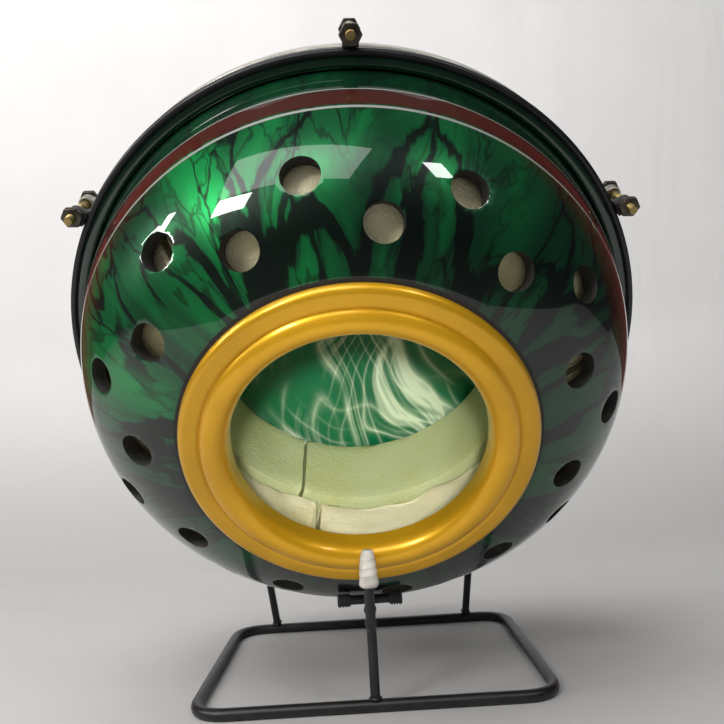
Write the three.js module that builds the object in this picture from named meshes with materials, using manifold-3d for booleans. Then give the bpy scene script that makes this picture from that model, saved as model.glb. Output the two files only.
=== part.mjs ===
// Bass hand drum: a lacquered bowl with a tensioned head, leaning on a small wire stand.
// Millimetres, +Z up. The drum is built on its own axis, which runs from the head to the sound hole.
import * as THREE from 'three';
import { mergeVertices } from 'three/addons/utils/BufferGeometryUtils.js';
import Module from 'manifold-3d';

// Shared sizes
const TURN_STEPS = 48;
const CLEARANCE = 0.3;

// Placing of the drum: its lean, and the height of the rear hoop's centre
const LEAN = THREE.MathUtils.degToRad(35.1);
const DRUM_HEIGHT = 240;

// Bowl
const RIM_RADIUS = 192.5;
const BELLY_TAPER = 0.16;
const BELLY_LENGTH = 126.5;
const BELLY_FULLNESS = 3.5;
const BELLY_STEPS = 9;
const WALL = 9;
const RIM_EDGE = -34;
const RIM_ROUND = 1.5;
const OPENING_RADIUS = 86;
const RING_SEAT_RADIUS = 109;
const VENT_RADIUS = 11;
const VENT_COUNT = 11;
const VENT_SIDES = 14;
const VENT_START = THREE.MathUtils.degToRad(81.9);
const INNER_VENT_RING = 135.5;
const OUTER_VENT_RING = 158;
const FLANGE_THICKNESS = 4.7;

// Hoops, head and hardware
const REAR_HOOP_FIT = 1;
const REAR_HOOP_WIDTH = 11.5;
const REAR_HOOP_DEPTH = 10;
const FLANGE_SETBACK = 5;
const HOOP_ROUND = 1.5;
const FILM = 0.9;
const SKIRT_END = -24.5;
const FLESH_HOOP_WIDTH = 4.4;
const FLESH_HOOP_DEPTH = 5.5;
const LIP_THICKNESS = 2.9;
const COUNTER_STRIP = 5.4;
const COUNTER_END = -17.5;
const BOLT_COUNT = 6;
const BOLT_START = THREE.MathUtils.degToRad(87.8);
const BOLT_STANDOFF = 7.5;
const BOLT_RADIUS = 3;
const BOLT_END = 12;
const HEX_FLATS = 12.5;
const HEAD_HEIGHT = 4;
const NUT_HEIGHT = 5;
const LUG_WIDTH = 10;
const LUG_DEPTH = 8;

// Sound hole ring
const RING_OUTER = 106.8;
const RING_INNER = 77.6;
const RING_RISE = 10.4;
const RING_BEAD = 6.4;
const RING_GROOVE = 94.5;
const SPIGOT = 8.5;

// Foam lining
const FOAM_BAND_INNER = 109;
const FOAM_BAND_START = RIM_EDGE + 2;
const FOAM_BAND_END = 38;
const FOAM_PAD_INNER = 106;
const FOAM_PAD_END_RADIUS = 122;
const FOAM_PAD_COUNT = 3;
const FOAM_JOINT = 3;
const FOAM_PAD_TURN = THREE.MathUtils.degToRad(72);

// Stand
const BASE_ROD = 4;
const BASE_SIDES = 9;
const BASE_STEPS = 60;
const BASE_HALF_WIDTH = 120.6;
const POST_SETBACK = 1.83;
const BASE_REAR = 138.5;
const BASE_CORNER = 25;
const ROD = 3.2;
const ROD_SIDES = 10;
const UPRIGHT_INSET = 34.6;
const REAR_REST_TURN = THREE.MathUtils.degToRad(26);
const REAR_CAP_RADIUS = 6.5;
const REAR_CAP_LENGTH = 16;
const HOOK_STANDOFF = 20.2;
const HOOK_DROP = 26.63;
const HOOK_BEND = 10;
const CAP_DROP = 0.63;
const CAP_LENGTH = 24;
const CAP_WIDE = 7;
const CAP_NARROW = 4.6;
const REST_BAR_LENGTH = 45;
const REST_TIP_LENGTH = 9;
const REST_TIP_RADIUS = 4.6;
const REST_RING = 134.6;

// Radii that follow from the rim
const REAR_HOOP_INNER = RIM_RADIUS + REAR_HOOP_FIT;
const HOOP_RADIUS = REAR_HOOP_INNER + REAR_HOOP_WIDTH;
const FLANGE_RADIUS = HOOP_RADIUS - FLANGE_SETBACK;
const BOLT_RING = HOOP_RADIUS + BOLT_STANDOFF;

// Colours
const LACQUER = { color: 0x0f7a38, roughness: 0.15, metalness: 0 };
const GOLD_PAINT = { color: 0xc08a22, roughness: 0.35, metalness: 0.6 };
const FILM_PRINT = { color: 0x2f8a4a, roughness: 0.35, metalness: 0 };
const PLATED = { color: 0xd8d2bd, roughness: 0.3, metalness: 0.7 };
const BLACK_COAT = { color: 0x141414, roughness: 0.5, metalness: 0.2 };
const YELLOW_ZINC = { color: 0xb79a55, roughness: 0.35, metalness: 0.8 };
const DARK_STEEL = { color: 0x3a3a38, roughness: 0.4, metalness: 0.8 };
const BAND_FOAM = { color: 0xc3c48a, roughness: 0.95, metalness: 0 };
const PAD_FOAM = { color: 0xe6dfbd, roughness: 0.95, metalness: 0 };
const BLACK_RUBBER = { color: 0x1a1a1a, roughness: 0.8, metalness: 0 };
const WHITE_TAPE = { color: 0xe8e4da, roughness: 0.7, metalness: 0 };

const wasm = await Module();
wasm.setup();

const group = new THREE.Group();
group.name = 'bass_hand_drum';
const drum = new THREE.Group();
drum.name = 'drum';
drum.rotation.x = Math.PI / 2 + LEAN;
drum.position.z = DRUM_HEIGHT;
group.add(drum);

// Joins equal corners, drops empty triangles and turns the faces outward
function closed(geometry) {
  const bare = geometry.clone();
  bare.deleteAttribute('normal');
  bare.deleteAttribute('uv');
  const joined = mergeVertices(bare, 1e-4);
  const kept = [];
  const source = joined.index.array;
  for (let i = 0; i < source.length; i += 3) {
    const [a, b, c] = [source[i], source[i + 1], source[i + 2]];
    if (a !== b && b !== c && a !== c) kept.push(a, b, c);
  }
  const corner = (i) => new THREE.Vector3().fromBufferAttribute(joined.attributes.position, kept[i]);
  let volume = 0;
  for (let i = 0; i < kept.length; i += 3) {
    volume += corner(i).dot(corner(i + 1).cross(corner(i + 2)));
  }
  if (volume < 0) kept.reverse();
  joined.setIndex(kept);
  return joined;
}

function toManifold(geometry) {
  const solid = closed(geometry);
  const vertProperties = new Float32Array(solid.attributes.position.array);
  const triVerts = new Uint32Array(solid.index.array);
  return new wasm.Manifold(new wasm.Mesh({ numProp: 3, vertProperties, triVerts }));
}

function toGeometry(manifold) {
  const mesh = manifold.getMesh();
  const geometry = new THREE.BufferGeometry();
  geometry.setAttribute('position', new THREE.BufferAttribute(new Float32Array(mesh.vertProperties), 3));
  geometry.setIndex(Array.from(mesh.triVerts));
  return geometry;
}

function add(parent, name, geometry, look) {
  const solid = closed(geometry);
  solid.computeVertexNormals();
  const mesh = new THREE.Mesh(solid, new THREE.MeshStandardMaterial(look));
  mesh.name = name;
  parent.add(mesh);
  return mesh;
}

// Turned solid on the Z axis from [radius, station] pairs
function turned(profile, steps = TURN_STEPS) {
  const points = profile.map(([radius, station]) => new THREE.Vector2(radius, station));
  return new THREE.LatheGeometry(points, steps).rotateX(Math.PI / 2);
}

// Turned ring, whose profile closes on itself
function turnedRing(profile, steps = TURN_STEPS) {
  return turned([...profile, profile[0]], steps);
}

function straightRod(from, to, radius) {
  const along = new THREE.Vector3().subVectors(to, from);
  const rod = new THREE.CylinderGeometry(radius, radius, along.length(), ROD_SIDES);
  rod.translate(0, along.length() / 2, 0);
  const direction = along.clone().normalize();
  const turn = new THREE.Quaternion().setFromUnitVectors(new THREE.Vector3(0, 1, 0), direction);
  return rod.applyQuaternion(turn).translate(from.x, from.y, from.z);
}

function bentRod(path, radius, steps) {
  const section = new THREE.Shape();
  section.absarc(0, 0, radius, 0, 2 * Math.PI, false);
  const options = { steps, extrudePath: path, curveSegments: ROD_SIDES / 2, bevelEnabled: false };
  return new THREE.ExtrudeGeometry(section, options);
}

function hexagon(flats) {
  const corner = flats / Math.sqrt(3);
  const shape = new THREE.Shape();
  for (let i = 0; i < 6; i += 1) {
    const turn = (i * Math.PI) / 3;
    const x = corner * Math.cos(turn);
    const y = corner * Math.sin(turn);
    if (i === 0) shape.moveTo(x, y);
    else shape.lineTo(x, y);
  }
  shape.closePath();
  return shape;
}

function prism(shape, height) {
  return new THREE.ExtrudeGeometry(shape, { depth: height, bevelEnabled: false, curveSegments: 5 });
}

// A point on the drum's axis frame, in the part's frame
function placed(point) {
  drum.updateMatrixWorld(true);
  return point.clone().applyMatrix4(drum.matrixWorld);
}

function placedDirection(direction) {
  drum.updateMatrixWorld(true);
  return direction.clone().transformDirection(drum.matrixWorld);
}

// Bowl: a full belly that narrows a little from the rim on
function bellyPoint(turn) {
  const power = 2 / BELLY_FULLNESS;
  const station = BELLY_LENGTH * Math.sin(turn) ** power;
  const radius = (RIM_RADIUS - BELLY_TAPER * station) * Math.cos(turn) ** power;
  return new THREE.Vector2(radius, station);
}

function bellyNormal(turn) {
  const step = 1e-3;
  const along = bellyPoint(turn + step).sub(bellyPoint(turn - step)).normalize();
  return new THREE.Vector2(along.y, -along.x);
}

// The turn at which the belly has a given radius
function bellyTurn(radius) {
  let low = 0.02;
  let high = Math.PI / 2 - 0.02;
  for (let i = 0; i < 50; i += 1) {
    const middle = (low + high) / 2;
    if (bellyPoint(middle).x > radius) low = middle;
    else high = middle;
  }
  return low;
}

const bellyLast = bellyTurn(RING_SEAT_RADIUS);
const bellyTurns = Array.from({ length: BELLY_STEPS }, (_, i) => (
  bellyLast * ((i + 1) / BELLY_STEPS) ** 1.25));

// Points that lie a given depth under the belly's skin
function under(depth, turns) {
  return turns.map((turn) => {
    const point = bellyPoint(turn).sub(bellyNormal(turn).multiplyScalar(depth));
    return [point.x, point.y];
  });
}

const seatStation = bellyPoint(bellyLast).y;
const flangeEnd = -REAR_HOOP_DEPTH - CLEARANCE;
const rimInner = RIM_RADIUS - WALL;
const bowlOutside = under(0, bellyTurns);
const bowlInside = under(WALL, bellyTurns).reverse();
const bowlProfile = [
  [rimInner + RIM_ROUND, RIM_EDGE],
  [RIM_RADIUS - RIM_ROUND, RIM_EDGE],
  [RIM_RADIUS, RIM_EDGE + RIM_ROUND],
  [RIM_RADIUS, flangeEnd - FLANGE_THICKNESS],
  [FLANGE_RADIUS, flangeEnd - FLANGE_THICKNESS],
  [FLANGE_RADIUS, flangeEnd],
  [RIM_RADIUS, flangeEnd],
  [RIM_RADIUS, 0],
  ...bowlOutside,
  [OPENING_RADIUS, seatStation],
  [OPENING_RADIUS, seatStation - WALL],
  ...bowlInside,
  [rimInner, 0],
  [rimInner, RIM_EDGE + RIM_ROUND],
];

function ventCutters(ringRadius, start) {
  const turn = bellyTurn(ringRadius);
  const centre = bellyPoint(turn);
  const normal = bellyNormal(turn);
  const lean = Math.atan2(normal.x, normal.y);
  return Array.from({ length: VENT_COUNT }, (_, i) => {
    const cutter = new THREE.CylinderGeometry(VENT_RADIUS, VENT_RADIUS, 4 * WALL, VENT_SIDES);
    cutter.rotateX(Math.PI / 2);
    cutter.rotateY(lean);
    cutter.translate(centre.x, 0, centre.y);
    return cutter.rotateZ(start + (i * 2 * Math.PI) / VENT_COUNT);
  });
}

const vents = [
  ...ventCutters(INNER_VENT_RING, VENT_START),
  ...ventCutters(OUTER_VENT_RING, VENT_START + Math.PI / VENT_COUNT),
];
let bowl = toManifold(turnedRing(bowlProfile));
for (const vent of vents) bowl = bowl.subtract(toManifold(vent));
add(drum, 'drum_bowl', toGeometry(bowl), LACQUER);

// Sound hole ring: outer bead, groove and a roll into the opening, with a spigot in the bowl
const ringSeat = seatStation + CLEARANCE;
const ringTop = ringSeat + RING_RISE;
const spigotRadius = OPENING_RADIUS - CLEARANCE;
const rollMiddle = (RING_GROOVE + RING_INNER) / 2;
add(drum, 'sound_hole_ring', turnedRing([
  [spigotRadius, ringSeat],
  [RING_OUTER - 1, ringSeat],
  [RING_OUTER, ringSeat + 0.35 * RING_BEAD],
  [RING_OUTER - 1.6, ringSeat + 0.75 * RING_BEAD],
  [RING_OUTER - 5, ringSeat + RING_BEAD],
  [RING_GROOVE + 1, ringSeat + 1.06 * RING_BEAD],
  [RING_GROOVE, ringSeat + 0.94 * RING_BEAD],
  [RING_GROOVE - 1, ringSeat + 1.1 * RING_BEAD],
  [rollMiddle + 4, ringTop - 1.1],
  [rollMiddle, ringTop],
  [RING_INNER + 3.4, ringTop - 1.6],
  [RING_INNER + 0.7, ringTop - 5],
  [RING_INNER, ringSeat],
  [RING_INNER, ringSeat - SPIGOT],
  [spigotRadius, ringSeat - SPIGOT],
]), GOLD_PAINT);

// Head film with its skirt, held by the flesh hoop and the counter hoop
const filmInner = RIM_RADIUS + CLEARANCE;
const filmOuter = filmInner + FILM;
const filmLow = RIM_EDGE - CLEARANCE;
const filmHigh = filmLow - FILM;
add(drum, 'drum_head', turned([
  [0, filmHigh],
  [filmOuter, filmHigh],
  [filmOuter, SKIRT_END],
  [filmInner, SKIRT_END],
  [filmInner, filmLow],
  [0, filmLow],
]), FILM_PRINT);

const fleshInner = filmOuter + CLEARANCE;
const fleshOuter = fleshInner + FLESH_HOOP_WIDTH;
const fleshStart = SKIRT_END - FLESH_HOOP_DEPTH;
add(drum, 'flesh_hoop', turnedRing([
  [fleshInner, fleshStart],
  [fleshOuter, fleshStart],
  [fleshOuter, SKIRT_END],
  [fleshInner, SKIRT_END],
]), PLATED);

const lipLow = fleshStart - CLEARANCE;
const lipHigh = lipLow - LIP_THICKNESS;
const stripInner = HOOP_RADIUS - COUNTER_STRIP;
add(drum, 'counter_hoop', turnedRing([
  [fleshInner, lipHigh],
  [HOOP_RADIUS - HOOP_ROUND, lipHigh],
  [HOOP_RADIUS, lipHigh + HOOP_ROUND],
  [HOOP_RADIUS, COUNTER_END],
  [stripInner, COUNTER_END],
  [stripInner, lipLow],
  [fleshInner, lipLow],
]), PLATED);

add(drum, 'rear_hoop', turnedRing([
  [REAR_HOOP_INNER, -REAR_HOOP_DEPTH],
  [HOOP_RADIUS - HOOP_ROUND, -REAR_HOOP_DEPTH],
  [HOOP_RADIUS, HOOP_ROUND - REAR_HOOP_DEPTH],
  [HOOP_RADIUS, -HOOP_ROUND],
  [HOOP_RADIUS - HOOP_ROUND, 0],
  [REAR_HOOP_INNER + HOOP_ROUND, 0],
  [REAR_HOOP_INNER, -HOOP_ROUND],
]), BLACK_COAT);

// Lugs, tension bolts and nuts, spaced round the hoops from the top
function lugGeometry() {
  const shape = new THREE.Shape();
  const half = LUG_WIDTH / 2;
  shape.moveTo(HOOP_RADIUS + CLEARANCE, -half);
  shape.lineTo(BOLT_RING, -half);
  shape.absarc(BOLT_RING, 0, half, -Math.PI / 2, Math.PI / 2, false);
  shape.lineTo(HOOP_RADIUS + CLEARANCE, half);
  shape.closePath();
  const bore = new THREE.Path();
  bore.absarc(BOLT_RING, 0, BOLT_RADIUS + CLEARANCE, 0, 2 * Math.PI, true);
  shape.holes.push(bore);
  return prism(shape, LUG_DEPTH);
}

function boltGeometry(headSeat) {
  const shank = new THREE.CylinderGeometry(BOLT_RADIUS, BOLT_RADIUS, BOLT_END - headSeat + 1, ROD_SIDES);
  shank.rotateX(Math.PI / 2).translate(0, 0, (BOLT_END + headSeat - 1) / 2);
  const head = prism(hexagon(HEX_FLATS), HEAD_HEIGHT).translate(0, 0, headSeat - HEAD_HEIGHT);
  return toGeometry(toManifold(head).add(toManifold(shank))).translate(BOLT_RING, 0, 0);
}

function nutGeometry() {
  const shape = hexagon(HEX_FLATS);
  const bore = new THREE.Path();
  bore.absarc(0, 0, BOLT_RADIUS + CLEARANCE, 0, 2 * Math.PI, true);
  shape.holes.push(bore);
  return prism(shape, NUT_HEIGHT).translate(BOLT_RING, 0, 0);
}

const frontLugStart = lipHigh;
const headSeat = frontLugStart - CLEARANCE;
for (let i = 0; i < BOLT_COUNT; i += 1) {
  const turn = BOLT_START + (i * 2 * Math.PI) / BOLT_COUNT;
  const label = i + 1;
  add(drum, `rear_lug_${label}`, lugGeometry().translate(0, 0, -LUG_DEPTH).rotateZ(turn), BLACK_COAT);
  add(drum, `front_lug_${label}`, lugGeometry().translate(0, 0, frontLugStart).rotateZ(turn), PLATED);
  add(drum, `tension_bolt_${label}`, boltGeometry(headSeat).rotateZ(turn), YELLOW_ZINC);
  add(drum, `tension_nut_${label}`, nutGeometry().translate(0, 0, CLEARANCE).rotateZ(turn), DARK_STEEL);
}

// Foam: a thick wall band by the head, then pads in the bowl with open joints between them
const foamSkin = WALL + CLEARANCE;
const bandOuter = rimInner - CLEARANCE;
const lining = under(foamSkin, bellyTurns.filter((turn) => turn < bellyTurn(FOAM_PAD_END_RADIUS)));
const besideBand = lining.filter(([, station]) => station < FOAM_BAND_END);
const besidePads = lining.filter(([, station]) => station > FOAM_BAND_END + FOAM_JOINT);
const padStart = besidePads[0][1];
const padEnd = besidePads.at(-1)[1];
add(drum, 'foam_wall_band', turnedRing([
  [bandOuter, FOAM_BAND_START],
  [bandOuter, 0],
  ...besideBand,
  [besidePads[0][0], FOAM_BAND_END],
  [FOAM_BAND_INNER, FOAM_BAND_END],
  [FOAM_BAND_INNER, FOAM_BAND_START],
]), BAND_FOAM);

const padProfile = [...besidePads, [FOAM_PAD_INNER, padEnd], [FOAM_PAD_INNER, padStart]];
const padRing = toManifold(turnedRing(padProfile));
for (let i = 0; i < FOAM_PAD_COUNT; i += 1) {
  const wedge = new THREE.Shape();
  const reach = 2 * RIM_RADIUS;
  const half = Math.PI / FOAM_PAD_COUNT;
  const inset = FOAM_JOINT / 2 / Math.sin(half);
  wedge.moveTo(inset, 0);
  wedge.lineTo(inset + reach * Math.cos(half), reach * Math.sin(half));
  wedge.lineTo(inset + reach, 0);
  wedge.lineTo(inset + reach * Math.cos(half), -reach * Math.sin(half));
  wedge.closePath();
  const cutter = prism(wedge, 2 * BELLY_LENGTH).translate(0, 0, -BELLY_LENGTH / 2);
  cutter.rotateZ(FOAM_PAD_TURN + 2 * half * i);
  const pad = padRing.intersect(toManifold(cutter));
  add(drum, `foam_pad_${i + 1}`, toGeometry(pad), PAD_FOAM);
}

// The stand's front follows the low edge of the sound hole ring
const ringFoot = placed(new THREE.Vector3(0, -(RING_OUTER - 5), ringSeat + RING_BEAD));
const postTop = ringFoot.z - 3 * CLEARANCE;
const baseFront = ringFoot.y - POST_SETBACK;
const hookFront = baseFront - HOOK_STANDOFF;
const hookLow = postTop - HOOK_DROP;
const capLow = postTop - CAP_DROP;
const capHigh = capLow + CAP_LENGTH;

// Stand: a closed base loop with flat undersides
const loopHeight = BASE_ROD * Math.cos(Math.PI / BASE_SIDES);
const loopPoint = (x, y) => new THREE.Vector3(x, y, loopHeight);
const loopCorners = [
  [BASE_HALF_WIDTH, baseFront, 0, 1],
  [BASE_HALF_WIDTH, BASE_REAR, -1, 0],
  [-BASE_HALF_WIDTH, BASE_REAR, 0, -1],
  [-BASE_HALF_WIDTH, baseFront, 1, 0],
];
const loop = new THREE.CurvePath();
loopCorners.forEach(([x, y, outX, outY], i) => {
  const [previousOutX, previousOutY] = loopCorners[(i + 3) % 4].slice(2);
  const bendStart = loopPoint(x - previousOutX * BASE_CORNER, y - previousOutY * BASE_CORNER);
  const bendEnd = loopPoint(x + outX * BASE_CORNER, y + outY * BASE_CORNER);
  const [nextX, nextY] = loopCorners[(i + 1) % 4];
  const nextStart = loopPoint(nextX - outX * BASE_CORNER, nextY - outY * BASE_CORNER);
  loop.add(new THREE.QuadraticBezierCurve3(bendStart, loopPoint(x, y), bendEnd));
  loop.add(new THREE.LineCurve3(bendEnd, nextStart));
});
add(group, 'base_loop', new THREE.TubeGeometry(loop, BASE_STEPS, BASE_ROD, BASE_SIDES, true), BLACK_COAT);

// Front post, which carries the ring's bead, and the hook in front of the ring
const loopTop = loopHeight + BASE_ROD;
add(group, 'front_post', straightRod(
  new THREE.Vector3(0, baseFront, loopTop + CLEARANCE),
  new THREE.Vector3(0, baseFront, postTop),
  ROD,
), BLACK_COAT);

const hook = new THREE.CurvePath();
const hookRoot = new THREE.Vector3(0, baseFront - ROD - CLEARANCE, hookLow);
const hookBendStart = new THREE.Vector3(0, hookFront + HOOK_BEND, hookLow);
const hookCorner = new THREE.Vector3(0, hookFront, hookLow);
const hookBendEnd = new THREE.Vector3(0, hookFront, hookLow + HOOK_BEND);
const hookTop = new THREE.Vector3(0, hookFront, capHigh - ROD - CLEARANCE);
hook.add(new THREE.LineCurve3(hookRoot, hookBendStart));
hook.add(new THREE.QuadraticBezierCurve3(hookBendStart, hookCorner, hookBendEnd));
hook.add(new THREE.LineCurve3(hookBendEnd, hookTop));
add(group, 'ring_hook', bentRod(hook, ROD, 20), BLACK_COAT);

const capBore = ROD + CLEARANCE;
add(group, 'hook_cap', turned([
  [0, capHigh],
  [CAP_NARROW - 1.2, capHigh],
  [CAP_NARROW, capHigh - 1.5],
  [CAP_WIDE, capLow + 5],
  [CAP_WIDE - 0.6, capLow],
  [capBore, capLow],
  [capBore, capHigh - ROD],
  [0, capHigh - ROD],
], 20).translate(0, hookFront, 0), WHITE_TAPE);

// Rest bar under the bowl, on an arm behind the post, with rubber tips
const tipInnerEnd = REST_BAR_LENGTH / 2 - REST_TIP_LENGTH;
const restTurn = bellyTurn(REST_RING);
const restPoint = bellyPoint(restTurn);
const restNormal = bellyNormal(restTurn);
const restDrop = Math.sqrt(restPoint.x ** 2 - tipInnerEnd ** 2);
const restSpot = placed(new THREE.Vector3(0, -restDrop, restPoint.y));
const restOut = placedDirection(new THREE.Vector3(0, -restNormal.x, restNormal.y));
const barCentre = restSpot.addScaledVector(restOut, REST_TIP_RADIUS + CLEARANCE);
const barAt = (x) => new THREE.Vector3(x, barCentre.y, barCentre.z);
add(group, 'rest_bar', straightRod(
  barAt(CLEARANCE - REST_BAR_LENGTH / 2 + 1),
  barAt(REST_BAR_LENGTH / 2 - 1 - CLEARANCE),
  ROD,
), BLACK_COAT);
add(group, 'rest_arm', straightRod(
  new THREE.Vector3(0, baseFront + ROD + CLEARANCE, barCentre.z),
  new THREE.Vector3(0, barCentre.y - ROD - CLEARANCE, barCentre.z),
  ROD,
), BLACK_COAT);

for (const [side, name] of [[-1, 'left'], [1, 'right']]) {
  const tip = turned([
    [0, REST_BAR_LENGTH / 2],
    [REST_TIP_RADIUS, REST_BAR_LENGTH / 2],
    [REST_TIP_RADIUS, tipInnerEnd],
    [capBore, tipInnerEnd],
    [capBore, REST_BAR_LENGTH / 2 - 1],
    [0, REST_BAR_LENGTH / 2 - 1],
  ], 16);
  tip.rotateY((side * Math.PI) / 2).translate(0, barCentre.y, barCentre.z);
  add(group, `rest_tip_${name}`, tip, BLACK_RUBBER);
}

// Rear uprights, which carry the rear hoop on rubber caps
for (const [side, name] of [[-1, 'left'], [1, 'right']]) {
  const turn = -Math.PI / 2 + side * REAR_REST_TURN;
  const reach = HOOP_RADIUS + CLEARANCE + REAR_CAP_RADIUS;
  const inDrum = new THREE.Vector3(reach * Math.cos(turn), reach * Math.sin(turn), -REAR_HOOP_DEPTH / 2);
  const capCentre = placed(inDrum);
  const footAside = side * (BASE_HALF_WIDTH - UPRIGHT_INSET);
  const foot = new THREE.Vector3(footAside, BASE_REAR, loopTop + 2 * CLEARANCE);
  const along = new THREE.Vector3().subVectors(capCentre, foot).normalize();
  const rodEnd = capCentre.clone().addScaledVector(along, -CLEARANCE);
  add(group, `rear_upright_${name}`, straightRod(foot, rodEnd, ROD), BLACK_COAT);
  const dome = Array.from({ length: 5 }, (_, i) => {
    const rise = ((4 - i) / 4) * (Math.PI / 2);
    return [REAR_CAP_RADIUS * Math.cos(rise), REAR_CAP_RADIUS * Math.sin(rise)];
  });
  dome[0][0] = 0;
  const cap = turned([
    ...dome,
    [REAR_CAP_RADIUS, -REAR_CAP_LENGTH],
    [capBore, -REAR_CAP_LENGTH],
    [capBore, 0],
    [0, 0],
  ], 16);
  const stand = new THREE.Quaternion().setFromUnitVectors(new THREE.Vector3(0, 0, 1), along);
  cap.applyQuaternion(stand).translate(capCentre.x, capCentre.y, capCentre.z);
  add(group, `upright_cap_${name}`, cap, BLACK_RUBBER);
}

// The part's origin lies under the middle of its box
group.updateMatrixWorld(true);
const box = new THREE.Box3().setFromObject(group, true);
group.position.y = -(box.min.y + box.max.y) / 2;

export default group;
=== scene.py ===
"""Bass hand drum on a wire stand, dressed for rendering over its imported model."""
import math

import bpy
from bpy.props import FloatProperty, FloatVectorProperty, IntProperty, PointerProperty
from mathutils import Matrix, Vector


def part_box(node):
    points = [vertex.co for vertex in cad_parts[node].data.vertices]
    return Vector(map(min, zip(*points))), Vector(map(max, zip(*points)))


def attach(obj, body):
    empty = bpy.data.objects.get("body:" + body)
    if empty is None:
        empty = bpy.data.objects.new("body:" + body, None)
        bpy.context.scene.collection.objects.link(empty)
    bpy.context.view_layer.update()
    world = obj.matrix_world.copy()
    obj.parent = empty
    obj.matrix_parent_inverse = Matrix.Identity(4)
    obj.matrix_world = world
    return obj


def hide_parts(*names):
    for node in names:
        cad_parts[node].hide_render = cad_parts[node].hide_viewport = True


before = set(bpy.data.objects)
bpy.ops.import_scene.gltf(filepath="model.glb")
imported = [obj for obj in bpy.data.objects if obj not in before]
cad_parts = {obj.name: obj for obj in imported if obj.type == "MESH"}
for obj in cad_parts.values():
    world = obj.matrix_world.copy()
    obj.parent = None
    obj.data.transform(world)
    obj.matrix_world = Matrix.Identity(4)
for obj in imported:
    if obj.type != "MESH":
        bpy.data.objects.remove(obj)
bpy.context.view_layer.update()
REAR_HOOP_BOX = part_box("rear_hoop")

bl_info = {
    "name": "Bass Hand Drum",
    "version": (1, 0, 0),
    "blender": (4, 5, 0),
    "location": "View3D > Sidebar > Drum",
    "description": "Models a lacquered bowl drum with its tension hardware and wire stand",
    "category": "Add Mesh",
}

MM = 0.001
ACROSS = Vector((1, 0, 0))
BACK = Vector((0, 1, 0))
UP = Vector((0, 0, 1))
SIDES = ((-1, "left"), (1, "right"))

# Steps in a full turn, for the drum's rings and for small turned pieces
ROUND_STEPS = 168
SMALL_STEPS = 40

# Shift of the lacquer's pattern, which settles how the veins fall
VEIN_DRAW = 4.3

# Stage, in metres from the floor's middle; the camera's place is from the drum's centre
SHEET_HALF_WIDTH = 2.5
SHEET_FRONT = -2.5
SHEET_BACK = 0.85
SHEET_BEND = 0.4
SHEET_TOP = 2.6
CAMERA_PLACE = Vector((1.5, -509.8, -53.0)) * MM
CAMERA_YAW = math.radians(0.32)
CAMERA_PITCH = math.radians(4.91)
CAMERA_ROLL = math.radians(-3.38)
CAMERA_LENS = 34.33
SENSOR_WIDTH = 36
DAYLIGHT = (1.0, 0.98, 0.95)
WHITE = (1, 1, 1)
DRUM_MIDDLE = Vector((0, 0, 0.25))
STAND_MIDDLE = Vector((0, 0, 0.1))

# Where the gloss sees the sheet in other colours than the camera does
DARK_FRONT = -0.46
MAROON_SIDE = 0.75
MAROON_FOOT = 0.12

# Name, place, target, width, height, power, tint and whether the gloss sees it
LAMPS = (
    ("window_left", (-0.95, -1.15, 0.98), DRUM_MIDDLE, 0.34, 0.26, 8, DAYLIGHT, True),
    ("window_edge", (-1.35, -0.45, 0.85), DRUM_MIDDLE, 0.10, 0.5, 6, DAYLIGHT, True),
    ("window_right", (0.75, -1.0, 1.25), DRUM_MIDDLE, 0.18, 0.28, 3, WHITE, True),
    ("front_soft", (-0.55, -1.3, 1.75), DRUM_MIDDLE, 1.6, 1.0, 17, WHITE, True),
    ("ceiling", (-0.5, -0.4, 1.8), STAND_MIDDLE, 1.4, 1.4, 28, WHITE, False),
)


# Sizes and colours


def length(millimetres, words):
    """A length property, written in millimetres and kept in metres."""
    return FloatProperty(description=words, default=millimetres * MM, unit="LENGTH", precision=5)


def angle(degrees, words):
    """An angle property, written in degrees."""
    return FloatProperty(description=words, default=math.radians(degrees), subtype="ANGLE")


def colour(red, green, blue, words):
    """A colour property, in linear light."""
    return FloatVectorProperty(description=words, default=(red, green, blue), subtype="COLOR", min=0, max=1)


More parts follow.
